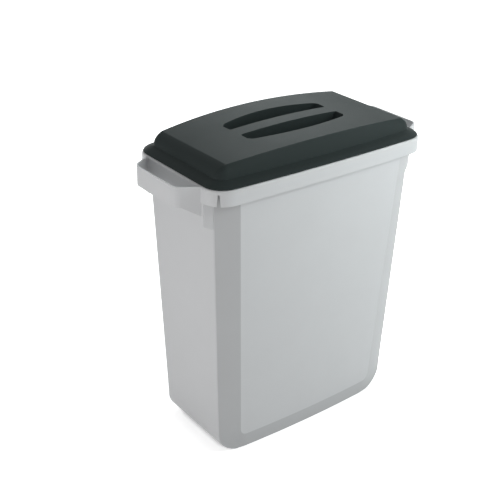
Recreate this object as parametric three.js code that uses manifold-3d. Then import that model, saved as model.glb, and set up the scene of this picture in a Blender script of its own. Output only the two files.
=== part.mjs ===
import * as THREE from 'three';
import { mergeVertices } from 'three/addons/utils/BufferGeometryUtils.js';
import Module from 'manifold-3d';

// A slim indoor waste bin: a moulded tub with a skirted rim and two looped carry handles,
// and a domed lid that rests on the rim and lifts straight off.
// Millimetres. X runs along the length, Y across the depth and Z up. The origin is the
// middle of the base, on the floor.

// ---- Driving dimensions of the tub ----
const TUB_HEIGHT = 600;
const WALL = 2.8;
const BODY_BASE_LENGTH = 436; // between the end walls, carried straight down to the floor
const BODY_TOP_LENGTH = 484;
const END_WALL_BASE_WIDTH = 182; // from crease to crease
const END_WALL_TOP_WIDTH = 209;
const END_ROUND = 47; // round from the end walls into the base
const CREASE_ROUND = 3.5; // upright edges of the end walls
const INNER_CREASE_ROUND = 1; // the same edges seen from inside
const PANEL_BASE_WIDTH = 344; // raised panel of the front and the back
const PANEL_TOP_WIDTH = 395;
const PANEL_BASE_DEPTH = 207; // from panel to panel, at their side edges
const PANEL_TOP_DEPTH = 254;
const PANEL_BOW = 5.5; // how far a panel bulges at its middle
const PANEL_SILL = 36; // height of the panel's lower edge
const PANEL_CORNER = 15;
const SILL_SETBACK = 4.5; // how far the wall has fallen back at the floor
const BASE_EDGE = 2;
const FOOT_WIDTH = 16; // of the ring that the base stands on
const FOOT_HEIGHT = 3;

const RIM_OVERHANG = 14; // from the body, at its top, out to the rim's outer edge
const RIM_LENGTH = BODY_TOP_LENGTH + 2 * RIM_OVERHANG;
const RIM_DEPTH = PANEL_TOP_DEPTH + 2 * RIM_OVERHANG;
const RIM_BOW = 4;
const RIM_CORNER = 43;
const RIM_SKIRT = 30;
const RIM_EDGE = 4; // round of the rim's outer top edge
const MOUTH_EDGE = 1.4;

const HANDLE_SPAN = 592; // over both handles
const HANDLE_GRIP_WIDTH = 131;
const HANDLE_RIM_WIDTH = 178; // where the arms cross the rim's end
const HANDLE_HEIGHT = 39; // of the grip
const HANDLE_ARM_HEIGHT = 56; // where the arms cross the rim's end
const HANDLE_ROOT = 10; // how far the arms run on behind the skirt
const HANDLE_WALL = 3.2;
const HANDLE_BEND = 22;
const HANDLE_DROP = 1; // from the rim's top to the handle's top edge

const LUG_BOTTOM = 523; // of the stacking lugs, above the floor
const LUG_CHAMFER = 6;
const LUG_REACH = 15; // out from the end wall, at the bottom
const LUG_TURN = 31; // degrees between a lug's face and the tub's length
const LUG_WALL = 5.5;
const LUG_SHOULDER = 20; // height over which a lug grows out to the skirt

const SLIT_WIDTH = 7; // at the skirt's lower edge
const SLIT_TIP_WIDTH = 3.5;
const SLIT_HEIGHT = 23;
const SLIT_TURN = 46; // degrees round the rim's corner, from the end

// ---- Driving dimensions of the lid ----
const LID_WALL = 2.8;
const LID_GAP = 0.3; // between the lid's edge and the rim
const LID_INSET = 3; // from the rim's outer edge to the lid's edge
const LIP_HEIGHT = 2; // upright part of the lid's edge
const LIP_STEP = 1; // from the lip up to where the flange starts
const FLANGE_WIDTH = 19;
const FLANGE_HEIGHT = 11.5; // above the rim, where the flange meets the dome
const FLANGE_BULGE = 0.03;
const FLANGE_CORNER = 20;
const FLANGE_INNER_BOW = 6;
const CREST_END_INSET = 43; // from the rim's outer edge to the crest, at the lid's ends
const CREST_SIDE_INSET = 38; // the same at the corners of its long sides
const CREST_LENGTH = RIM_LENGTH - 2 * CREST_END_INSET;
const CREST_END_DEPTH = RIM_DEPTH - 2 * CREST_SIDE_INSET;
const CREST_BOW = 12;
const CREST_CORNER = 2.5;
const CREST_END_HEIGHT = 35.4; // above the rim, at the lid's ends
const CROWN_HEIGHT = 47.2; // above the rim, at the lid's middle
const SIDE_TURN = 50; // degrees that the dome's side turns on its way to the crest

const GRIP_LENGTH = 238;
const GRIP_BAR_WIDTH = 32;
const GRIP_REACH = 62.5; // from the lid's middle to a recess's far edge
const GRIP_ARCH = 375; // radius of that edge
const GRIP_INNER_CORNER = 8;
const GRIP_OUTER_CORNER = 20;
const GRIP_DEPTH = 26;
const GRIP_RAMP = 27; // length of the sloping end of a recess

const RIB_DEPTH = 10; // of the locating rib, below the rim's top
const RIB_WALL = 2.2;
const RIB_CLEARANCE = 2;

// ---- Fineness of the curves ----
const PANEL_STEPS = 6;
const PANEL_CORNER_STEPS = 5;
const CREASE_STEPS = 3;
const ROUND_STEPS = 7;
const RIM_CORNER_STEPS = 9;
const RIM_SIDE_STEPS = 6;
const EDGE_STEPS = 3;
const BEND_STEPS = 5;
const LID_SIDE_STEPS = 11;
const LID_CORNER_STEPS = 8;
const FLANGE_STEPS = 4;
const DOME_STEPS = 6;
const ARCH_STEPS = 12;
const RAMP_STEPS = 5;

const OVERLAP = 1; // how far cutting and joining solids run past a face
const MERGE_REACH = 1e-4; // points closer than this are one point

const TUB_MATERIAL = new THREE.MeshStandardMaterial({
  name: 'tub_plastic', color: 0xc9cccd, roughness: 0.45, metalness: 0,
});
const LID_MATERIAL = new THREE.MeshStandardMaterial({
  name: 'lid_plastic', color: 0x2c3032, roughness: 0.4, metalness: 0,
});

const wasm = await Module();
wasm.setup();

const { lerp, degToRad } = THREE.MathUtils;

// ---- Solids ----

function toSolid(geometry) {
  geometry.deleteAttribute('normal');
  geometry.deleteAttribute('uv');
  const merged = mergeVertices(geometry, MERGE_REACH);
  return new wasm.Manifold(new wasm.Mesh({
    numProp: 3,
    vertProperties: new Float32Array(merged.attributes.position.array),
    triVerts: new Uint32Array(merged.index.array),
  }));
}

function toMesh(name, solid, material) {
  const { vertProperties, triVerts } = solid.getMesh();
  const geometry = new THREE.BufferGeometry();
  geometry.setAttribute('position', new THREE.BufferAttribute(vertProperties, 3));
  geometry.setIndex(new THREE.BufferAttribute(triVerts, 1));
  geometry.computeVertexNormals();
  const mesh = new THREE.Mesh(geometry, material);
  mesh.name = name;
  return mesh;
}

// Closes a stack of rings, each with the same number of [x, y, z] points, counterclockwise
// from above and lowest ring first. Each facet is split along the diagonal that lies further
// out, so that a ridge that crosses it stays sharp and mirrored facets match. `closeTop` gives
// the triangles that close the last ring where it isn't flat.
function loft(rings, closeTop) {
  const size = rings[0].length;
  const points = rings.flat();
  const triangles = [];
  const reach = (i, j) => Math.hypot(points[i][0] + points[j][0], points[i][1] + points[j][1]);
  for (let ring = 0; ring + 1 < rings.length; ring += 1) {
    for (let i = 0; i < size; i += 1) {
      const a = ring * size + i;
      const b = ring * size + ((i + 1) % size);
      if (reach(a, b + size) > reach(b, a + size)) {
        triangles.push(a, b, b + size, a, b + size, a + size);
      } else {
        triangles.push(a, b, a + size, b, b + size, a + size);
      }
    }
  }
  const top = (rings.length - 1) * size;
  const flatCap = rings[0].slice(2).map((point, i) => [0, i + 1, i + 2]);
  for (const [a, b, c] of flatCap) triangles.push(a, c, b);
  for (const [a, b, c] of closeTop ? closeTop(size) : flatCap) {
    triangles.push(top + a, top + b, top + c);
  }
  const geometry = new THREE.BufferGeometry();
  geometry.setAttribute('position', new THREE.Float32BufferAttribute(points.flat(), 3));
  geometry.setIndex(triangles);
  return toSolid(geometry);
}

function prism(points, low, high) {
  const shape = new THREE.Shape(points.map(([x, y]) => new THREE.Vector2(x, y)));
  const geometry = new THREE.ExtrudeGeometry(shape, { depth: high - low, bevelEnabled: false });
  return toSolid(geometry.translate(0, 0, low));
}

// A profile drawn in X and Z, extruded along Y over the part's whole depth.
function crosswise(points) {
  const shape = new THREE.Shape(points.map(([x, z]) => new THREE.Vector2(x, z)));
  const depth = RIM_DEPTH;
  const geometry = new THREE.ExtrudeGeometry(shape, { depth, bevelEnabled: false });
  geometry.rotateX(Math.PI / 2);
  return toSolid(geometry.translate(0, depth / 2, 0));
}

// ---- Outlines ----

// A quarter outline runs from the middle of the front, at -Y, round the corner to the middle
// of the +X end. Mirrored twice, it gives the closed outline.
function mirrorQuarter(quarter) {
  const half = [...quarter, ...quarter.slice(0, -1).reverse().map(([x, y]) => [x, -y])];
  return [...half, ...half.slice(1, -1).reverse().map(([x, y]) => [-x, y])];
}

function ringAt(outline, z) {
  return outline.map(([x, y]) => [x, y, z]);
}

// The arc that rounds the corner between two straight runs, given by the corner and the
// directions, in radians, of the run in and the run out.
function fillet([x, y], turnIn, turnOut, radius, steps) {
  const half = (turnOut - turnIn) / 2;
  const reach = radius * Math.tan(half);
  const startX = x - reach * Math.cos(turnIn);
  const startY = y - reach * Math.sin(turnIn);
  const centreX = startX - radius * Math.sin(turnIn);
  const centreY = startY + radius * Math.cos(turnIn);
  const arc = [];
  for (let i = 0; i <= steps; i += 1) {
    const turn = lerp(turnIn, turnOut, i / steps);
    arc.push([centreX + radius * Math.sin(turn), centreY - radius * Math.cos(turn)]);
  }
  return arc;
}

// A rectangle with round corners, whose long sides bulge by `bow`.
function bowedQuarter(halfLength, halfDepth, bow, corner, sideSteps, cornerSteps) {
  const straight = halfLength - corner;
  const side = halfDepth - bow;
  const quarter = [];
  for (let i = 0; i < sideSteps; i += 1) {
    const share = i / sideSteps;
    quarter.push([straight * share, -(side + bow * (1 - share * share))]);
  }
  quarter.push(...fillet([halfLength, -side], 0, Math.PI / 2, corner, cornerSteps));
  quarter.push([halfLength, 0]);
  return quarter;
}

// An open run of points, moved sideways to its left by `distance`.
function offsetRun(points, distance) {
  const last = points.length - 1;
  return points.map(([x, y], i) => {
    const [ax, ay] = points[Math.max(i - 1, 0)];
    const [bx, by] = points[Math.min(i + 1, last)];
    const turnIn = i === 0 ? Math.atan2(by - y, bx - x) : Math.atan2(y - ay, x - ax);
    const turnOut = i === last ? turnIn : Math.atan2(by - y, bx - x);
    const middle = (turnIn + turnOut) / 2;
    const reach = distance / Math.cos((turnOut - turnIn) / 2);
    return [x - reach * Math.sin(middle), y + reach * Math.cos(middle)];
  });
}

// The same run with the two corners at its middle rounded.
function roundMiddle(points, radius) {
  const middle = points.length / 2;
  return points.flatMap(([x, y], i) => {
    if (i !== middle - 1 && i !== middle) return [[x, y]];
    const [ax, ay] = points[i - 1];
    const [bx, by] = points[i + 1];
    const turnIn = Math.atan2(y - ay, x - ax);
    const turnOut = Math.atan2(by - y, bx - x);
    return fillet([x, y], turnIn, turnOut, radius, BEND_STEPS);
  });
}

// ---- Tub ----

// How far the end wall reaches at a height, on its way round into the base.
function endReach(z, inset) {
  const end = lerp(BODY_BASE_LENGTH, BODY_TOP_LENGTH, z / TUB_HEIGHT) / 2;
  if (z >= END_ROUND) return end - inset;
  return end - END_ROUND + Math.sqrt((END_ROUND - inset) ** 2 - (END_ROUND - z) ** 2);
}

// The crease between end wall and border, in plan, at a height.
function creasePoint(z) {
  const share = z / TUB_HEIGHT;
  return [
    lerp(BODY_BASE_LENGTH, BODY_TOP_LENGTH, share) / 2,
    lerp(END_WALL_BASE_WIDTH, END_WALL_TOP_WIDTH, share) / 2,
  ];
}

// The panel's side edge in plan at a height, and how steeply the border falls back beside it.
function panelEdge(z, inset) {
  const share = z / TUB_HEIGHT;
  const edgeX = lerp(PANEL_BASE_WIDTH, PANEL_TOP_WIDTH, share) / 2;
  const edgeY = lerp(PANEL_BASE_DEPTH, PANEL_TOP_DEPTH, share) / 2;
  const [creaseX, creaseY] = creasePoint(z);
  const slant = Math.atan2(edgeY - creaseY, creaseX - edgeX);
  return [edgeX - inset * Math.tan(slant / 2), edgeY - inset, Math.tan(slant)];
}

// How far the body's front stands out from the middle plane: a bowed panel with round lower
// corners, and a border that falls back from it, steeper at the sides than below the sill.
function frontDepth(x, z, inset) {
  const [edgeX, edgeY, sideFall] = panelEdge(z, inset);
  const sillFall = SILL_SETBACK / PANEL_SILL;
  const across = Math.max(0, x - edgeX + PANEL_CORNER);
  const down = Math.max(0, PANEL_SILL + PANEL_CORNER - z);
  const distance = Math.max(0, Math.hypot(across, down) - PANEL_CORNER);
  const turn = Math.atan2(down, across) / (Math.PI / 2);
  const bow = PANEL_BOW * Math.max(0, 1 - (x / edgeX) ** 2);
  return edgeY + bow - distance * lerp(sideFall, sillFall, turn);
}

// The body's outline at a height. Its columns of points follow the panel's round corner.
function bodyOutline(z, inset) {
  const endX = endReach(z, inset);
  const [edgeX] = panelEdge(z, inset);
  const cornerStart = edgeX - PANEL_CORNER;
  const cornerWidth = Math.min(PANEL_CORNER, endX - CREASE_ROUND - cornerStart);
  const columns = [];
  for (let i = 0; i < PANEL_STEPS; i += 1) columns.push(cornerStart * (i / PANEL_STEPS));
  for (let i = 0; i <= PANEL_CORNER_STEPS; i += 1) {
    const turn = (Math.PI / 2) * (i / PANEL_CORNER_STEPS);
    columns.push(cornerStart + cornerWidth * Math.sin(turn));
  }
  const front = columns.map((x) => [x, -frontDepth(x, z, inset)]);
  const [lastX, lastY] = front.at(-1);
  const cornerY = -frontDepth(endX, z, inset);
  const slant = Math.atan2(cornerY - lastY, endX - lastX);
  const radius = Math.max(CREASE_ROUND - inset, INNER_CREASE_ROUND);
  const crease = fillet([endX, cornerY], slant, Math.PI / 2, radius, CREASE_STEPS);
  return mirrorQuarter([...front, ...crease, [endX, 0]]);
}

// The heights at which the body's outline is taken: close together where it curves.
function bodyLevels(inset) {
  const levels = new Set([TUB_HEIGHT]);
  for (let i = 1; i <= ROUND_STEPS; i += 1) {
    const turn = (Math.PI / 2) * (i / ROUND_STEPS);
    levels.add(END_ROUND - (END_ROUND - inset) * Math.cos(turn));
  }
  for (let i = 0; i <= PANEL_CORNER_STEPS; i += 1) {
    const turn = (Math.PI / 2) * (i / PANEL_CORNER_STEPS);
    levels.add(PANEL_SILL + PANEL_CORNER * (1 - Math.cos(turn)));
  }
  return [...levels].sort((a, b) => a - b);
}

function bodyShell() {
  const foot = bodyOutline(BASE_EDGE, BASE_EDGE / 2);
  const rings = [ringAt(foot, 0), ringAt(bodyOutline(BASE_EDGE, 0), BASE_EDGE)];
  for (const z of bodyLevels(0)) {
    if (z > BASE_EDGE) rings.push(ringAt(bodyOutline(z, 0), Math.min(z, TUB_HEIGHT - OVERLAP)));
  }
  return loft(rings);
}

function bodyCavity() {
  const rings = [ringAt(bodyOutline(WALL, WALL), WALL)];
  for (const z of bodyLevels(WALL)) {
    if (z < TUB_HEIGHT) rings.push(ringAt(bodyOutline(z, WALL), z));
  }
  const mouth = bodyOutline(TUB_HEIGHT, WALL - MOUTH_EDGE);
  rings.push(ringAt(bodyOutline(TUB_HEIGHT - MOUTH_EDGE, WALL), TUB_HEIGHT - MOUTH_EDGE));
  rings.push(ringAt(mouth, TUB_HEIGHT), ringAt(mouth, TUB_HEIGHT + OVERLAP));
  return loft(rings);
}

function footQuarter(inset) {
  const halfLength = endReach(0, 0) - FOOT_WIDTH - inset;
  const halfDepth = frontDepth(0, 0, 0) - PANEL_BOW - FOOT_WIDTH - inset;
  return bowedQuarter(halfLength, halfDepth, 0, PANEL_CORNER, 1, CREASE_STEPS);
}

function rimOutline(inset) {
  const corner = RIM_CORNER - inset;
  const quarter = bowedQuarter(
    RIM_LENGTH / 2 - inset, RIM_DEPTH / 2 - inset, RIM_BOW, corner,
    RIM_SIDE_STEPS, RIM_CORNER_STEPS,
  );
  return mirrorQuarter(quarter);
}

// The rim: a flat top with a rounded outer edge, and a skirt that hangs clear of the body.
function rimWithSkirt() {
  const bottom = TUB_HEIGHT - RIM_SKIRT;
  const rings = [ringAt(rimOutline(0), bottom)];
  for (let i = 0; i <= EDGE_STEPS; i += 1) {
    const turn = (Math.PI / 2) * (i / EDGE_STEPS);
    const inset = RIM_EDGE * (1 - Math.cos(turn));
    rings.push(ringAt(rimOutline(inset), TUB_HEIGHT - RIM_EDGE * (1 - Math.sin(turn))));
  }
  const inside = rimOutline(WALL);
  const groove = loft([ringAt(inside, bottom - OVERLAP), ringAt(inside, TUB_HEIGHT - WALL)]);
  return loft(rings).subtract(groove);
}

// A handle's band in plan, on the +X end: out through the rim's end, round the grip and back.
function handleRun() {
  const rimX = RIM_LENGTH / 2;
  const slope = (HANDLE_RIM_WIDTH - HANDLE_GRIP_WIDTH) / (HANDLE_SPAN - RIM_LENGTH);
  const root = [rimX - HANDLE_ROOT, HANDLE_RIM_WIDTH / 2 + HANDLE_ROOT * slope];
  const grip = [HANDLE_SPAN / 2, HANDLE_GRIP_WIDTH / 2];
  return [[root[0], -root[1]], [grip[0], -grip[1]], grip, root];
}

// A handle: the grip and its two arms, which grow deeper towards the tub.
function handle() {
  const run = handleRun();
  const outer = roundMiddle(run, HANDLE_BEND);
  const inner = roundMiddle(offsetRun(run, HANDLE_WALL), HANDLE_BEND - HANDLE_WALL);
  const top = TUB_HEIGHT - HANDLE_DROP;
  const low = top - HANDLE_ARM_HEIGHT;
  const [rootX] = run[0];
  const endX = HANDLE_SPAN / 2 + OVERLAP;
  const side = [
    [rootX - OVERLAP, low],
    [RIM_LENGTH / 2, low],
    [HANDLE_SPAN / 2 - HANDLE_BEND / 2, top - HANDLE_HEIGHT],
    [endX, top - HANDLE_HEIGHT],
    [endX, top + OVERLAP],
    [rootX - OVERLAP, top + OVERLAP],
  ];
  return prism([...outer, ...inner.reverse()], low, top).intersect(crosswise(side));
}

// A stacking lug: a web that carries the border on from the crease to the skirt. Its foot
// rests on the rim of the tub that this one is nested in.
function lug() {
  const low = LUG_BOTTOM - LUG_CHAMFER;
  const top = TUB_HEIGHT - WALL / 2;
  const turn = degToRad(LUG_TURN);
  const reach = RIM_LENGTH; // long enough to pass the skirt
  const plan = (z) => {
    const [x, y] = creasePoint(z);
    const backX = -LUG_WALL * Math.sin(turn);
    const backY = -LUG_WALL * Math.cos(turn);
    const tipX = x + reach * Math.cos(turn);
    const tipY = y - reach * Math.sin(turn);
    const corners = [[x, y], [x + backX, y + backY], [tipX + backX, tipY + backY], [tipX, tipY]];
    return ringAt(corners, z);
  };
  const [creaseX] = creasePoint(low);
  const skirtX = RIM_LENGTH / 2 - WALL / 2;
  const side = [
    [creaseX - LUG_WALL, low],
    [creaseX, low],
    [creaseX + LUG_REACH, LUG_BOTTOM],
    [skirtX, LUG_BOTTOM + LUG_SHOULDER],
    [skirtX, top + OVERLAP],
    [creaseX - LUG_WALL, top + OVERLAP],
  ];
  return loft([plan(low), plan(top)]).intersect(crosswise(side));
}

// A wedge that opens the skirt at the rim's corner, wide at the skirt's lower edge.
function slit() {
  const bottom = TUB_HEIGHT - RIM_SKIRT;
  const half = SLIT_WIDTH / 2;
  const tip = SLIT_TIP_WIDTH / 2;
  const slope = (half - tip) / SLIT_HEIGHT;
  const below = half + slope * OVERLAP;
  const near = RIM_CORNER - WALL - OVERLAP;
  const far = RIM_CORNER + OVERLAP;
  const level = (width, z) => [[near, -width, z], [far, -width, z], [far, width, z], [near, width, z]];
  const wedge = loft([level(below, bottom - OVERLAP), level(tip, bottom + SLIT_HEIGHT)]);
  const centreX = RIM_LENGTH / 2 - RIM_CORNER;
  const centreY = RIM_DEPTH / 2 - RIM_BOW - RIM_CORNER;
  return wedge.rotate([0, 0, SLIT_TURN]).translate([centreX, centreY, 0]);
}

// The same solid in all four corners.
function inFourCorners(solid) {
  const pair = solid.add(solid.mirror([1, 0, 0]));
  return pair.add(pair.mirror([0, 1, 0]));
}

function buildTub() {
  const recess = mirrorQuarter(footQuarter(0));
  const step = mirrorQuarter(footQuarter(-WALL));
  const hollow = bodyCavity().subtract(
    loft([ringAt(step, 0), ringAt(step, WALL + FOOT_HEIGHT)]),
  );
  return rimWithSkirt()
    .add(bodyShell())
    .add(handle())
    .add(handle().mirror([1, 0, 0]))
    .add(inFourCorners(lug()))
    .subtract(hollow)
    .subtract(inFourCorners(slit()))
    .subtract(loft([ringAt(recess, -OVERLAP), ringAt(recess, FOOT_HEIGHT)]));
}

// ---- Lid ----

// Height of the crowned top above the rim.
function crownHeight(x) {
  const share = x / (CREST_LENGTH / 2);
  return CROWN_HEIGHT - (CROWN_HEIGHT - CREST_END_HEIGHT) * share * share;
}

function lidQuarter(halfLength, halfDepth, bow, corner) {
  return bowedQuarter(halfLength, halfDepth, bow, corner, LID_SIDE_STEPS, LID_CORNER_STEPS);
}

// The lid's three outlines: its edge, the line where flange and dome meet, and the crest.
function lidOutlines(inset) {
  const edgeInset = LID_INSET + inset;
  const edge = lidQuarter(
    RIM_LENGTH / 2 - edgeInset, RIM_DEPTH / 2 - edgeInset, RIM_BOW, RIM_CORNER - edgeInset,
  );
  const footInset = LID_INSET + FLANGE_WIDTH + inset;
  const foot = lidQuarter(
    RIM_LENGTH / 2 - footInset, RIM_DEPTH / 2 - footInset,
    FLANGE_INNER_BOW, FLANGE_CORNER - inset,
  );
  const crest = lidQuarter(
    CREST_LENGTH / 2 - inset, CREST_END_DEPTH / 2 + CREST_BOW - inset,
    CREST_BOW, CREST_CORNER,
  );
  return [edge, foot, crest].map(mirrorQuarter);
}

function blend(from, to, share) {
  return from.map(([x, y], i) => [lerp(x, to[i][0], share), lerp(y, to[i][1], share)]);
}

// Triangles that close the crest ring, running straight across the lid from front to back,
// so that the top curves along its length only.
function crownCap(size) {
  const quarter = size / 4;
  const triangles = [];
  const strip = (start, direction) => {
    const front = (i) => (start + direction * i + size) % size;
    const back = (i) => (start + size / 2 - direction * i + size) % size;
    const add = (a, b, c) => triangles.push(direction > 0 ? [a, b, c] : [a, c, b]);
    for (let i = 0; i + 1 < quarter; i += 1) {
      if (i + 2 < quarter) {
        add(front(i), front(i + 1), back(i + 1));
      } else {
        add(front(i), front(i + 1), front(quarter));
        add(front(i), front(quarter), back(i + 1));
      }
      add(front(i), back(i + 1), back(i));
    }
  };
  strip(0, 1);
  strip(0, -1);
  return triangles;
}

// The lid filled solid: an S-shaped side from the edge over the flange and up the dome to the
// crest, under the crowned top. With an inset it is the room inside the shell.
function lidBlock(inset) {
  const [edge, foot, crest] = lidOutlines(inset);
  const rim = TUB_HEIGHT;
  const low = LID_GAP - (inset > 0 ? OVERLAP : 0);
  const rings = [ringAt(edge, rim + low), ringAt(edge, rim + LIP_HEIGHT - inset / 2)];
  const flangeLow = LIP_HEIGHT + LIP_STEP - inset;
  for (let i = 1; i <= FLANGE_STEPS; i += 1) {
    const share = i / FLANGE_STEPS;
    const bulge = FLANGE_BULGE * 4 * share * (1 - share);
    const z = lerp(flangeLow, FLANGE_HEIGHT - inset, share + bulge);
    rings.push(ringAt(blend(edge, foot, share), rim + z));
  }
  const turnEnd = degToRad(SIDE_TURN);
  for (let i = 1; i <= DOME_STEPS; i += 1) {
    const turn = turnEnd * (i / DOME_STEPS);
    const inward = (1 - Math.cos(turn)) / (1 - Math.cos(turnEnd));
    const upward = Math.sin(turn) / Math.sin(turnEnd);
    rings.push(blend(foot, crest, inward).map(([x, y], k) => {
      const top = crownHeight(crest[k][0]) - inset;
      return [x, y, rim + lerp(FLANGE_HEIGHT - inset, top, upward)];
    }));
  }
  return loft(rings, crownCap);
}

// A finger recess in plan, on the +Y side of the grip bar: straight along the bar, arched on
// its far side, with blunt rounded ends.
function gripOutline(grow) {
  const end = GRIP_LENGTH / 2 + grow;
  const near = GRIP_BAR_WIDTH / 2 - grow;
  const far = (x) => GRIP_REACH + grow - (x * x) / (2 * GRIP_ARCH);
  const right = Math.PI / 2;
  const slope = Math.atan2(end, GRIP_ARCH);
  const arch = [];
  const archEnd = end - GRIP_OUTER_CORNER;
  for (let i = 1; i < ARCH_STEPS; i += 1) {
    const x = archEnd * (1 - (2 * i) / ARCH_STEPS);
    arch.push([x, far(x)]);
  }
  return [
    ...fillet([-end, near], -right, 0, GRIP_INNER_CORNER + grow, BEND_STEPS),
    ...fillet([end, near], 0, right, GRIP_INNER_CORNER + grow, BEND_STEPS),
    ...fillet([end, far(end)], right, 2 * right - slope, GRIP_OUTER_CORNER + grow, BEND_STEPS),
    ...arch,
    ...fillet(
      [-end, far(end)], 2 * right + slope, 3 * right, GRIP_OUTER_CORNER + grow, BEND_STEPS,
    ),
  ];
}

// Both finger recesses, with a flat floor that slopes up at either end.
function grips(grow) {
  const floor = TUB_HEIGHT + CROWN_HEIGHT - GRIP_DEPTH - grow;
  const above = TUB_HEIGHT + CROWN_HEIGHT + OVERLAP;
  const end = GRIP_LENGTH / 2 + grow;
  const ramp = [];
  for (let i = 0; i <= RAMP_STEPS; i += 1) {
    const share = i / RAMP_STEPS;
    ramp.push([end - GRIP_RAMP * (1 - share), floor + GRIP_DEPTH * share * share]);
  }
  const profile = [
    ...ramp.map(([x, z]) => [-x, z]).reverse(),
    ...ramp,
    [end + OVERLAP, above + OVERLAP],
    [-end - OVERLAP, above + OVERLAP],
  ];
  const recess = prism(gripOutline(grow), floor - OVERLAP, above).intersect(crosswise(profile));
  return recess.add(recess.mirror([0, 1, 0]));
}

// The rib under the lid that drops into the tub's mouth and keeps the lid in place.
function locatingRib(room) {
  const inset = WALL + RIB_CLEARANCE;
  const low = TUB_HEIGHT - RIB_DEPTH;
  const high = TUB_HEIGHT + FLANGE_HEIGHT;
  const outer = bodyOutline(TUB_HEIGHT, inset);
  const inner = bodyOutline(TUB_HEIGHT, inset + RIB_WALL);
  const ring = loft([ringAt(outer, low), ringAt(outer, high)])
    .subtract(loft([ringAt(inner, low - OVERLAP), ringAt(inner, high + OVERLAP)]));
  const below = loft([
    ringAt(outer, low - OVERLAP), ringAt(outer, TUB_HEIGHT + LID_GAP + OVERLAP),
  ]);
  return ring.intersect(room.add(below));
}

function buildLid() {
  const block = lidBlock(0);
  const rib = locatingRib(block);
  return block
    .subtract(grips(0))
    .subtract(lidBlock(LID_WALL).subtract(grips(LID_WALL)))
    .add(rib);
}

const bin = new THREE.Group();
bin.add(toMesh('bin_tub', buildTub(), TUB_MATERIAL));
bin.add(toMesh('lid', buildLid(), LID_MATERIAL));

export default bin;
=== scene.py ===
"""A slim waste bin with a lift-off lid: a light grey moulded tub and a black moulded lid.

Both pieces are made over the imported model's own shape, with their edges rounded off and
a finish of moulded plastic.
"""

import math

import bmesh
import bpy
from bpy.props import FloatProperty, FloatVectorProperty, PointerProperty
from mathutils import Matrix, Vector


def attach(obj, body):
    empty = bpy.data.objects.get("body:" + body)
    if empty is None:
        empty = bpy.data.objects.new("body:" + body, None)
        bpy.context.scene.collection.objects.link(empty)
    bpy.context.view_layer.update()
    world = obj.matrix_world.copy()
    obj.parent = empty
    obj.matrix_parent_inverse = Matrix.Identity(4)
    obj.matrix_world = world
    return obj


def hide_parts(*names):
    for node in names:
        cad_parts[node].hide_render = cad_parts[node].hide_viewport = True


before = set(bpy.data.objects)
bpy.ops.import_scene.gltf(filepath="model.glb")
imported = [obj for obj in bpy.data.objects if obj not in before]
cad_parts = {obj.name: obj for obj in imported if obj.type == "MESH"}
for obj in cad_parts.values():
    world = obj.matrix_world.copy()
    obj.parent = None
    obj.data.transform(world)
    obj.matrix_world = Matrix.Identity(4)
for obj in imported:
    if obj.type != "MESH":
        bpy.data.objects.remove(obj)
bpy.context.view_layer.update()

bl_info = {
    "name": "Slim waste bin",
    "version": (1, 0, 0),
    "blender": (4, 5, 0),
    "location": "View3D > Sidebar > Waste bin",
    "description": "A slim moulded waste bin with a lift-off lid",
    "category": "Object",
}

MM = 0.001
SENSOR_WIDTH = 36.0  # mm

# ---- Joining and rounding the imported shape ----
JOIN_REACH = 0.02 * MM
SLIVER_WIDTH = 0.001 * MM
FLAT_ANGLE = math.radians(0.2)
SHARP_ANGLE = math.radians(30)
NOTCH_ANGLE = math.radians(150)
ROUND_ROOM = 2.2  # least width of a face beside a rounded edge, in roundings
FLAT_FACE_WEIGHT = 50

# ---- Finding the tub's borders: polished, and darkened with painted shade ----
BORDER_MARK = "border_shade_and_polish"
RIM_BOTTOM = 570 * MM
CREASE_REACH = 243 * MM  # from the middle to just past the end walls' creases
LONG_SIDE_FACING = 0.8  # least part of a long side's normal that runs along the depth
SIDE_SLANT = 0.11  # least part of a side border's normal that runs along the length
SILL_SLANT = 0.1  # least part of the sill's normal that runs upright

# ---- The plastics' surface ----
MOTTLE_DENSITY = 14  # per metre, as the next one
RUB_PATCH_DENSITY = 22
RUB_STRETCH = (60, 60, 900)
RUB_TURN = (0.12, 0.2, 0)
COLOUR_STRAY = 0.025  # either way, as a share of the colour
ROUGHNESS_STRAY = 0.05  # either way
POLISHED_GRAIN = 0.8  # share of the grain that polishing takes off
POLISHED_SHEEN = 0.06  # roughness that polishing takes off
RUBBED_ROUGHNESS = 0.15  # roughness that a rub mark adds

# ---- The floor's painted shadow: a dark patch under the bin ----
PAINTED_SHADOW_CORNER = 20 * MM
PAINTED_SHADOW_CORE = (160 * MM, 58 * MM, 0)  # half its length and half its depth, less its corner


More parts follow.
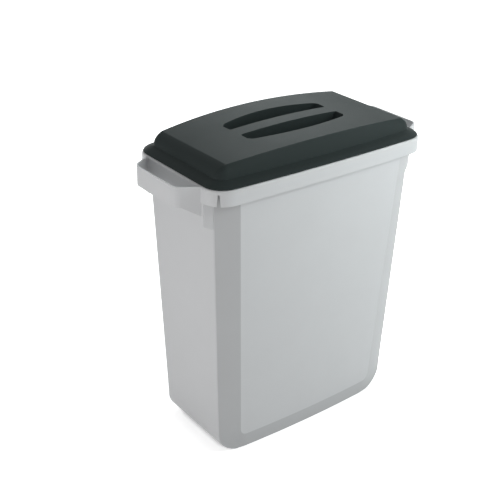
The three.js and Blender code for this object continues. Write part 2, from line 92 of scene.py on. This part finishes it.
class WasteBinFinish(bpy.types.PropertyGroup):
    """Colours and surface of the two plastics."""

    tub_colour: FloatVectorProperty(
        name="Tub",
        description="Colour of the tub's plastic",
        subtype="COLOR",
        size=3,
        min=0,
        max=1,
        default=(0.6, 0.603, 0.612),
    )
    lid_colour: FloatVectorProperty(
        name="Lid",
        description="Colour of the lid's plastic",
        subtype="COLOR",
        size=3,
        min=0,
        max=1,
        default=(0.029, 0.037, 0.0365),
    )
    tub_roughness: FloatProperty(
        name="Tub roughness",
        description="How matt the tub is",
        min=0,
        max=1,
        default=0.5,
    )
    lid_roughness: FloatProperty(
        name="Lid roughness",
        description="How matt the lid is",
        min=0,
        max=1,
        default=0.5,
    )
    tub_gloss: FloatProperty(
        name="Tub gloss",
        description="How strongly the tub mirrors, where 0.5 is plain plastic",
        min=0,
        max=1,
        default=0.3,
    )
    lid_gloss: FloatProperty(
        name="Lid gloss",
        description="How strongly the lid mirrors, where 0.5 is plain plastic",
        min=0,
        max=1,
        default=0.04,
    )
    # The borders' darker colour is painted shade: the tub's colour scaled down on the borders
    # by this tone.
    border_painted_shade: FloatProperty(
        name="Border tone",
        description="How much of the tub's colour its polished borders show",
        min=0,
        max=1,
        default=0.81,
    )
    rub_marks: FloatProperty(
        name="Rub marks",
        description="Strength of the hair-thin marks from handling",
        min=0,
        max=1,
        default=0.3,
    )
    grain_size: FloatProperty(
        name="Grain size",
        description="Width of one grain of the eroded mould surface",
        subtype="DISTANCE",
        unit="LENGTH",
        min=0.0001,
        max=0.01,
        default=0.9 * MM,
    )
    grain_depth: FloatProperty(
        name="Grain depth",
        description="Height of the grain",
        subtype="DISTANCE",
        unit="LENGTH",
        min=0,
        max=0.001,
        default=0.05 * MM,
    )
    edge_round: FloatProperty(
        name="Edge rounding",
        description="Radius that the light sees on the moulded edges",
        subtype="DISTANCE",
        unit="LENGTH",
        min=0,
        max=0.005,
        default=0.4 * MM,
    )


class WasteBinStage(bpy.types.PropertyGroup):
    """The camera, the floor and the lamps."""

    azimuth: FloatProperty(
        name="Azimuth",
        description="Camera's turn about the bin, from straight in front",
        subtype="ANGLE",
        default=math.radians(-37.436),
    )
    elevation: FloatProperty(
        name="Elevation",
        description="Camera's height angle",
        subtype="ANGLE",
        default=math.radians(27.0466),
    )
    roll: FloatProperty(
        name="Roll",
        description="Camera's turn about its own line of sight",
        subtype="ANGLE",
        default=math.radians(0.9315),
    )
    distance: FloatProperty(
        name="Distance",
        description="From the camera to the bin's middle, along the line of sight",
        subtype="DISTANCE",
        unit="LENGTH",
        default=2038.179 * MM,
    )
    aim_height: FloatProperty(
        name="Aim height",
        description="Height of the point that the camera is set out from",
        subtype="DISTANCE",
        unit="LENGTH",
        default=320 * MM,
    )
    slide_right: FloatProperty(
        name="Slide right",
        description="How far the aim point lies right of the frame's middle",
        subtype="DISTANCE",
        unit="LENGTH",
        default=60.949 * MM,
    )
    slide_down: FloatProperty(
        name="Slide down",
        description="How far the aim point lies below the frame's middle",
        subtype="DISTANCE",
        unit="LENGTH",
        default=39.034 * MM,
    )
    lens: FloatProperty(
        name="Lens",
        description="Focal length on a 36 mm sensor, in millimetres",
        min=1,
        default=70.956,
    )
    floor_size: FloatProperty(
        name="Floor size",
        description="Side of the square floor",
        subtype="DISTANCE",
        unit="LENGTH",
        default=60.0,
    )
    floor_shade: FloatProperty(
        name="Floor shade",
        description="How pale the floor is for the light that it gives back to the bin",
        min=0,
        max=1,
        default=0.6,
    )
    # The glow is lowered round the bin's base over the touch reach and the shadow reach:
    # painted shadow on the floor.
    floor_glow: FloatProperty(
        name="Floor glow",
        description="White that the camera sees on the floor near the bin, over its light",
        min=0,
        max=1,
        default=0.5,
    )
    touch_reach: FloatProperty(
        name="Touch reach",
        description="From the dark patch under the bin to where the floor glow is full",
        subtype="DISTANCE",
        unit="LENGTH",
        min=0.001,
        default=24 * MM,
    )
    shadow_reach: FloatProperty(
        name="Shadow reach",
        description="From the dark patch to where the floor is plain white to the camera",
        subtype="DISTANCE",
        unit="LENGTH",
        min=0.001,
        default=120 * MM,
    )
    fill: FloatProperty(
        name="Fill",
        description="Strength of the light from all round",
        min=0,
        default=0.3,
    )


def node_tree(material):
    """An emptied node tree and its output node."""
    material.use_nodes = True
    tree = material.node_tree
    tree.nodes.clear()
    return tree, tree.nodes.new("ShaderNodeOutputMaterial")


def between(tree, low, high, factor):
    """A value that goes from low to high as the factor goes from 0 to 1."""
    span = tree.nodes.new("ShaderNodeMapRange")
    span.inputs["To Min"].default_value = low
    span.inputs["To Max"].default_value = high
    tree.links.new(factor, span.inputs["Value"])
    return span.outputs["Result"]


def rise(tree, start, end, value):
    """A value that goes from 0 to 1 as another goes from a start to an end."""
    span = tree.nodes.new("ShaderNodeMapRange")
    span.inputs["From Min"].default_value = start
    span.inputs["From Max"].default_value = end
    tree.links.new(value, span.inputs["Value"])
    return span.outputs["Result"]


def new_group(name, inputs, outputs):
    """An empty shader node group with float sockets, and its entry and leave nodes."""
    group = bpy.data.node_groups.new(name, "ShaderNodeTree")
    for label, value in inputs.items():
        socket = group.interface.new_socket(
            label, in_out="INPUT", socket_type="NodeSocketFloat"
        )
        socket.default_value = value
    for label in outputs:
        group.interface.new_socket(label, in_out="OUTPUT", socket_type="NodeSocketFloat")
    entry = group.nodes.new("NodeGroupInput")
    leave = group.nodes.new("NodeGroupOutput")
    return group, entry, leave


def math_node(tree, operation, *values):
    """A Math node's result; each value is a number or another node's socket."""
    node = tree.nodes.new("ShaderNodeMath")
    node.operation = operation
    for socket, value in zip(node.inputs, values):
        if isinstance(value, bpy.types.NodeSocket):
            tree.links.new(value, socket)
        else:
            socket.default_value = value
    return node.outputs[0]


def noise(tree, place, scale, detail, roughness=0.5):
    """A noise texture's value; the scale is a number or a socket."""
    node = tree.nodes.new("ShaderNodeTexNoise")
    node.inputs["Detail"].default_value = detail
    node.inputs["Roughness"].default_value = roughness
    if isinstance(scale, bpy.types.NodeSocket):
        tree.links.new(scale, node.inputs["Scale"])
    else:
        node.inputs["Scale"].default_value = scale
    tree.links.new(place, node.inputs["Vector"])
    return node.outputs["Fac"]


def grain_group():
    """The spark-eroded grain of a mould and the plastic's broad, faint unevenness."""
    name = "moulded_grain"
    if name in bpy.data.node_groups:
        return bpy.data.node_groups[name]
    group, entry, leave = new_group(
        name, {"Size": 0.9 * MM, "Polish": 0.0}, ("Height", "Mottle")
    )
    place = group.nodes.new("ShaderNodeTexCoord").outputs["Object"]
    density = math_node(group, "DIVIDE", 1, entry.outputs["Size"])
    pits = noise(group, place, density, 3, 0.65)
    coarse = noise(group, place, math_node(group, "MULTIPLY", density, 0.3), 1)
    mixed = math_node(group, "MULTIPLY_ADD", coarse, 0.5, pits)
    shade_and_polish = entry.outputs["Polish"]
    left_over = math_node(group, "MULTIPLY_ADD", shade_and_polish, -POLISHED_GRAIN, 1)
    height = math_node(group, "MULTIPLY", mixed, left_over)
    group.links.new(height, leave.inputs["Height"])
    mottle = noise(group, place, MOTTLE_DENSITY, 4)
    group.links.new(mottle, leave.inputs["Mottle"])
    return group


def scuff_group():
    """Hair-thin rub marks that run mostly along one direction, as a mask."""
    name = "rub_marks"
    if name in bpy.data.node_groups:
        return bpy.data.node_groups[name]
    group, entry, leave = new_group(name, {"Amount": 0.3}, ("Mask",))
    place = group.nodes.new("ShaderNodeTexCoord").outputs["Object"]
    lines = group.nodes.new("ShaderNodeMapping")
    lines.inputs["Scale"].default_value = RUB_STRETCH
    lines.inputs["Rotation"].default_value = RUB_TURN
    group.links.new(place, lines.inputs["Vector"])
    hairs = rise(group, 0.66, 0.78, noise(group, lines.outputs["Vector"], 1, 2))
    patches = rise(group, 0.5, 0.7, noise(group, place, RUB_PATCH_DENSITY, 3))
    marks = math_node(group, "MULTIPLY", hairs, patches)
    shown = math_node(group, "MULTIPLY", marks, entry.outputs["Amount"])
    group.links.new(shown, leave.inputs["Mask"])
    return group


def colour_mix(tree, factor, low, high):
    """A colour between two; each is a colour of three numbers or a socket."""
    node = tree.nodes.new("ShaderNodeMix")
    node.data_type = "RGBA"
    tree.links.new(factor, node.inputs["Factor"])
    for label, colour in (("A", low), ("B", high)):
        socket = next(i for i in node.inputs if i.name == label and i.type == "RGBA")
        if isinstance(colour, bpy.types.NodeSocket):
            tree.links.new(colour, socket)
        else:
            socket.default_value = (*colour, 1)
    return next(o for o in node.outputs if o.type == "RGBA")


def moulded_plastic(name, colour, roughness, gloss, finish):
    """Injection-moulded plastic: grained; on the tub's borders it is smoother, and darker with
    painted shade.
    """
    material = bpy.data.materials.new(name)
    tree, output = node_tree(material)
    nodes, links = tree.nodes, tree.links
    shader = nodes.new("ShaderNodeBsdfPrincipled")
    shader.inputs["Specular IOR Level"].default_value = gloss
    links.new(shader.outputs["BSDF"], output.inputs["Surface"])
    border = nodes.new("ShaderNodeAttribute")
    border.attribute_name = BORDER_MARK
    shade_and_polish = border.outputs["Fac"]
    grain = nodes.new("ShaderNodeGroup")
    grain.node_tree = grain_group()
    grain.inputs["Size"].default_value = finish.grain_size
    links.new(shade_and_polish, grain.inputs["Polish"])
    rubs = nodes.new("ShaderNodeGroup")
    rubs.node_tree = scuff_group()
    rubs.inputs["Amount"].default_value = finish.rub_marks
    mottle = grain.outputs["Mottle"]
    # The second shade is painted shade: the tub's colour darkened by the border tone, used on
    # the marked borders.
    shades = []
    for tone in (1, finish.border_painted_shade):
        parts = (1 - COLOUR_STRAY, 1 + COLOUR_STRAY)
        low, high = ([c * tone * part for c in colour] for part in parts)
        shades.append(colour_mix(tree, mottle, low, high))
    plain = colour_mix(tree, shade_and_polish, *shades)
    rubbed = [min(1, c * 1.25 + 0.01) for c in colour]
    shown = colour_mix(tree, rubs.outputs["Mask"], plain, rubbed)
    links.new(shown, shader.inputs["Base Color"])
    low, high = roughness - ROUGHNESS_STRAY, roughness + ROUGHNESS_STRAY
    uneven = between(tree, low, high, mottle)
    smoother = math_node(tree, "MULTIPLY_ADD", shade_and_polish, -POLISHED_SHEEN, uneven)
    rub = rubs.outputs["Mask"]
    rougher = math_node(tree, "MULTIPLY_ADD", rub, RUBBED_ROUGHNESS, smoother)
    links.new(rougher, shader.inputs["Roughness"])
    bump = nodes.new("ShaderNodeBump")
    bump.inputs["Distance"].default_value = finish.grain_depth
    bump.inputs["Strength"].default_value = 1
    links.new(grain.outputs["Height"], bump.inputs["Height"])
    links.new(bump.outputs["Normal"], shader.inputs["Normal"])
    return material


def roundable_edges(shape, edge_round):
    """The sharp edges that have room for a round, away from the tightest notches."""
    room = ROUND_ROOM * edge_round
    edges = []
    for edge in shape.edges:
        if not SHARP_ANGLE < edge.calc_face_angle(0) < NOTCH_ANGLE:
            continue
        near = [other for vert in edge.verts for other in vert.link_edges]
        if any(other.calc_face_angle(0) > NOTCH_ANGLE for other in near):
            continue
        if min(face.calc_area() for face in edge.link_faces) > room * edge.calc_length():
            edges.append(edge)
    return edges


def mark_borders(shape):
    """Marks the borders round the tub's raised panels on the bmesh's faces, which get polish
    and painted shade.
    """
    mark = shape.faces.layers.float.new(BORDER_MARK)
    for face in shape.faces:
        place, normal = face.calc_center_median(), face.normal
        outside = normal.y * place.y > 0 and abs(normal.y) > LONG_SIDE_FACING
        below_rim = place.z < RIM_BOTTOM and abs(place.x) < CREASE_REACH
        slanting = abs(normal.x) > SIDE_SLANT or abs(normal.z) > SILL_SLANT
        face[mark] = float(outside and below_rim and slanting)


def join_flats(shape):
    """Joins the bmesh's faces that lie in one plane."""
    bmesh.ops.dissolve_limit(
        shape, angle_limit=FLAT_ANGLE, verts=shape.verts, edges=shape.edges
    )


def put_in_order(shape):
    """Sorts the bmesh by place, because join_flats leaves an order that varies by run."""
    for parts, place in (
        (shape.verts, lambda vert: tuple(vert.co)),
        (shape.edges, lambda edge: tuple(edge.verts[0].co + edge.verts[1].co)),
        (shape.faces, lambda face: tuple(face.calc_center_median())),
    ):
        rank = {part: number for number, part in enumerate(sorted(parts, key=place))}
        parts.sort(key=rank.get)


def moulding_over(node, name, material, edge_round):
    """A piece over a moulded node's own shape, joined up, with its edges rounded off."""
    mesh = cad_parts[node].data.copy()
    mesh.name = name
    mesh.materials.clear()
    mesh.materials.append(material)
    piece = bpy.data.objects.new(name, mesh)
    bpy.context.scene.collection.objects.link(piece)
    shape = bmesh.new()
    shape.from_mesh(mesh)
    bmesh.ops.remove_doubles(shape, verts=shape.verts, dist=JOIN_REACH)
    bmesh.ops.dissolve_degenerate(shape, dist=SLIVER_WIDTH, edges=shape.edges)
    join_flats(shape)
    if edge_round > 0:
        many_sided = [face for face in shape.faces if len(face.verts) > 4]
        bmesh.ops.triangulate(shape, faces=many_sided)
        bmesh.ops.bevel(
            shape,
            geom=roundable_edges(shape, edge_round),
            affect="EDGES",
            offset=edge_round,
            offset_type="OFFSET",
            segments=2,
            profile=0.5,
            clamp_overlap=False,
            material=-1,
        )
        join_flats(shape)
    bmesh.ops.recalc_face_normals(shape, faces=shape.faces)
    put_in_order(shape)
    mark_borders(shape)
    for face in shape.faces:
        face.material_index = 0
        face.smooth = True
    shape.to_mesh(mesh)
    shape.free()
    mesh.set_sharp_from_angle(angle=SHARP_ANGLE)
    flats = piece.modifiers.new("flat_faces", "WEIGHTED_NORMAL")
    flats.mode = "FACE_AREA"
    flats.weight = FLAT_FACE_WEIGHT
    flats.keep_sharp = True
    return piece


class MakeTub(bpy.types.Operator):
    """The light grey tub with its rim, handles, slits, lugs and panels"""

    bl_idname = "waste_bin.make_tub"
    bl_label = "Tub"

    def execute(self, context):
        finish = context.scene.waste_bin_finish
        material = moulded_plastic(
            "light_grey_plastic",
            finish.tub_colour,
            finish.tub_roughness,
            finish.tub_gloss,
            finish,
        )
        piece = moulding_over("bin_tub", "tub_moulding", material, finish.edge_round)
        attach(piece, "tub")
        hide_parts("bin_tub")
        return {"FINISHED"}


class MakeLid(bpy.types.Operator):
    """The black lid with its dome, flange, finger recesses and locating rib"""

    bl_idname = "waste_bin.make_lid"
    bl_label = "Lid"

    def execute(self, context):
        finish = context.scene.waste_bin_finish
        material = moulded_plastic(
            "black_plastic",
            finish.lid_colour,
            finish.lid_roughness,
            finish.lid_gloss,
            finish,
        )
        piece = moulding_over("lid", "lid_moulding", material, finish.edge_round)
        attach(piece, "lid")
        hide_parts("lid")
        return {"FINISHED"}


LAMP_AIM = Vector((0, 0, 0.35))  # metres
PLAIN = (1, 1, 1)
COOL = (0.93, 1, 1)
# Each lamp: its name, its turn round the bin and its height angle in degrees, its distance
# and its width in metres, its watts and its colour.
LAMPS = (
    ("left_lamp", 270, 8, 1, 0.5, 1.9, PLAIN),
    ("front_left_low_lamp", 315, 2, 1.9, 0.9, 4.8, PLAIN),
    ("front_low_lamp", 0, 2, 1.9, 0.9, 0.7, PLAIN),
    ("front_top_lamp", 20, 50, 1, 0.5, 0.5, COOL),
    ("front_high_lamp", 30, 38, 1.25, 0.35, 3.1, COOL),
    ("front_right_lamp", 42, 28, 1.25, 0.35, 3.5, COOL),
    ("right_low_lamp", 45, 2, 1.9, 0.9, 1, COOL),
    ("right_lamp", 50, 8, 1, 0.5, 0.85, COOL),
    ("back_top_lamp", 135, 42, 1.9, 0.9, 11.2, COOL),
    ("back_lamp", 150, 20, 1.9, 0.9, 3.9, COOL),
    ("back_low_lamp", 180, 2, 1.9, 0.9, 7, PLAIN),
)


def bearing(azimuth, elevation):
    """The direction of a turn from straight in front and a height angle, in radians."""
    level = math.cos(elevation)
    return Vector(
        (math.sin(azimuth) * level, -math.cos(azimuth) * level, math.sin(elevation))
    )


def add_lamp(name, turn, height, distance, width, power, colour):
    lamp = bpy.data.lights.new(name, "AREA")
    lamp.shape = "DISK"
    lamp.size = width
    lamp.energy = power
    lamp.color = colour
    holder = bpy.data.objects.new(name, lamp)
    line = bearing(math.radians(turn), math.radians(height))
    holder.location = LAMP_AIM + line * distance
    holder.rotation_euler = (-line).to_track_quat("-Z", "Y").to_euler()
    bpy.context.scene.collection.objects.link(holder)


def seen_directly(tree):
    """1 for the rays that show a surface itself: the camera's, mirrored and passed on."""
    path = tree.nodes.new("ShaderNodeLightPath")
    result = path.outputs["Is Camera Ray"]
    for ray in ("Is Glossy Ray", "Is Transmission Ray"):
        result = math_node(tree, "MAXIMUM", result, path.outputs[ray])
    return result


def beyond_painted_shadow(tree):
    """How far a point on the floor lies outside the darkest patch of the painted shadow under
    the bin, in metres.
    """
    step = tree.nodes.new("ShaderNodeTexCoord").outputs["Object"]
    for operation, other, result in (
        ("ABSOLUTE", None, "Vector"),
        ("SUBTRACT", PAINTED_SHADOW_CORE, "Vector"),
        ("MAXIMUM", (0, 0, 0), "Vector"),
        ("LENGTH", None, "Value"),
    ):
        node = tree.nodes.new("ShaderNodeVectorMath")
        node.operation = operation
        tree.links.new(step, node.inputs[0])
        if other:
            node.inputs[1].default_value = other
        step = node.outputs[result]
    outside = math_node(tree, "SUBTRACT", step, PAINTED_SHADOW_CORNER)
    return math_node(tree, "MAXIMUM", outside, 0)


class MakeStage(bpy.types.Operator):
    """The pale floor, the soft lamps and the camera"""

    bl_idname = "waste_bin.make_stage"
    bl_label = "Stage"

    def execute(self, context):
        stage = context.scene.waste_bin_stage
        self.make_floor(stage)
        self.make_world(context.scene, stage)
        for lamp in LAMPS:
            add_lamp(*lamp)
        self.make_camera(context.scene, stage)
        context.scene.view_settings.view_transform = "Standard"
        return {"FINISHED"}

    def make_floor(self, stage):
        shape = bmesh.new()
        bmesh.ops.create_grid(shape, x_segments=1, y_segments=1, size=stage.floor_size / 2)
        mesh = bpy.data.meshes.new("floor")
        shape.to_mesh(mesh)
        shape.free()
        floor = bpy.data.objects.new("floor", mesh)
        bpy.context.scene.collection.objects.link(floor)
        material = bpy.data.materials.new("floor_white")
        tree, output = node_tree(material)
        seen = seen_directly(tree)
        matt = tree.nodes.new("ShaderNodeBsdfDiffuse")
        tree.links.new(between(tree, stage.floor_shade, 1, seen), matt.inputs["Color"])
        # The glow is lowered near the base: painted shadow on the floor, over the real shadow
        # from the lamps.
        away = beyond_painted_shadow(tree)
        close = math_node(tree, "POWER", rise(tree, 0, stage.touch_reach, away), 2)
        wide = math_node(tree, "POWER", rise(tree, 0, stage.shadow_reach, away), 3)
        near = math_node(tree, "MULTIPLY", close, stage.floor_glow)
        white = math_node(tree, "MULTIPLY_ADD", wide, 1 - stage.floor_glow, near)
        glow = tree.nodes.new("ShaderNodeEmission")
        strength = math_node(tree, "MULTIPLY", white, seen)
        tree.links.new(strength, glow.inputs["Strength"])
        both = tree.nodes.new("ShaderNodeAddShader")
        tree.links.new(matt.outputs[0], both.inputs[0])
        tree.links.new(glow.outputs[0], both.inputs[1])
        tree.links.new(both.outputs[0], output.inputs["Surface"])
        mesh.materials.append(material)

    def make_world(self, scene, stage):
        world = bpy.data.worlds.new("studio")
        scene.world = world
        world.use_nodes = True
        tree = world.node_tree
        tree.nodes.clear()
        output = tree.nodes.new("ShaderNodeOutputWorld")
        white = tree.nodes.new("ShaderNodeBackground")
        white.inputs["Color"].default_value = (1, 1, 1, 1)
        strength = between(tree, stage.fill, 1, seen_directly(tree))
        tree.links.new(strength, white.inputs["Strength"])
        tree.links.new(white.outputs[0], output.inputs["Surface"])

    def make_camera(self, scene, stage):
        back = bearing(stage.azimuth, stage.elevation)
        right = (-back).cross(Vector((0, 0, 1))).normalized()
        up = right.cross(-back)
        turn = Matrix.Rotation(stage.roll, 3, back)
        right, up = turn @ right, turn @ up
        aim = Vector((0, 0, stage.aim_height))
        place = aim + back * stage.distance - right * stage.slide_right + up * stage.slide_down
        camera = bpy.data.cameras.new("camera")
        camera.lens = stage.lens
        camera.sensor_width = SENSOR_WIDTH
        camera.clip_end = stage.floor_size * 2
        holder = bpy.data.objects.new("camera", camera)
        matrix = Matrix((right, up, back)).transposed().to_4x4()
        matrix.translation = place
        holder.matrix_world = matrix
        scene.collection.objects.link(holder)
        scene.camera = holder


class WasteBinPanel(bpy.types.Panel):
    """Lists the bin's sizes, colours and steps"""

    bl_idname = "VIEW3D_PT_waste_bin"
    bl_label = "Waste bin"
    bl_space_type = "VIEW_3D"
    bl_region_type = "UI"
    bl_category = "Waste bin"

    def draw(self, context):
        layout = self.layout
        for group in (context.scene.waste_bin_finish, context.scene.waste_bin_stage):
            column = layout.column()
            for name in group.__annotations__:
                column.prop(group, name)
        for step in STEPS:
            layout.operator(step.bl_idname)


STEPS = (MakeTub, MakeLid, MakeStage)
CLASSES = (WasteBinFinish, WasteBinStage, *STEPS, WasteBinPanel)


def register():
    for cls in CLASSES:
        bpy.utils.register_class(cls)
    bpy.types.Scene.waste_bin_finish = PointerProperty(type=WasteBinFinish)
    bpy.types.Scene.waste_bin_stage = PointerProperty(type=WasteBinStage)


def unregister():
    del bpy.types.Scene.waste_bin_stage
    del bpy.types.Scene.waste_bin_finish
    for cls in reversed(CLASSES):
        bpy.utils.unregister_class(cls)


def main():
    register()
    bpy.ops.waste_bin.make_tub()
    bpy.ops.waste_bin.make_lid()
    bpy.ops.waste_bin.make_stage()


if __name__ == "__main__":
    main()
